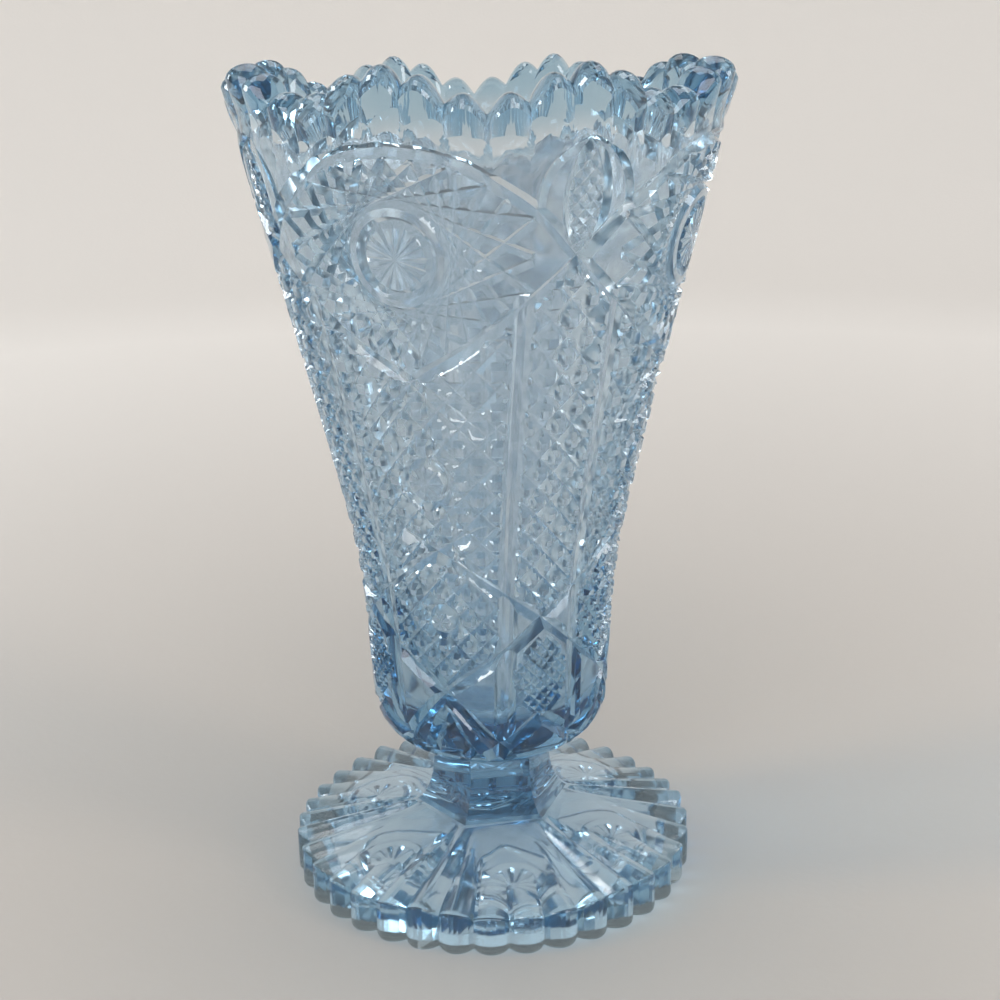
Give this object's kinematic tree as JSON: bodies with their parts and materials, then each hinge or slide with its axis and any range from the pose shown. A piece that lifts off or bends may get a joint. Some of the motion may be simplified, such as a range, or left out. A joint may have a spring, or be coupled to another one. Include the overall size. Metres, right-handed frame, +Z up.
{
  "type": "footed vase",
  "caption": "Pressed-glass footed vase: tall flaring bowl with mitre cuts and hobstars, toothed wavy rim, short faceted stem and scalloped round foot.",
  "frame": {"origin": "on the vase's axis, in the plane that the foot's flat bead rests on", "axes": "+Z up along the axis through the foot, stem and bowl; -Y is the front, through the middle of one wide hobstar panel and one corner of the six-sided stem; +X is to the right as seen from the front"},
  "size_m": [0.0946, 0.0946, 0.16],
  "materials": {
    "ice_blue_glass": "fire-polished pressed glass, pale ice blue and deeper where it is thick"
  },
  "bodies": {
    "root": {"footed_vase": "ice_blue_glass"}
  },
  "joints": []
}
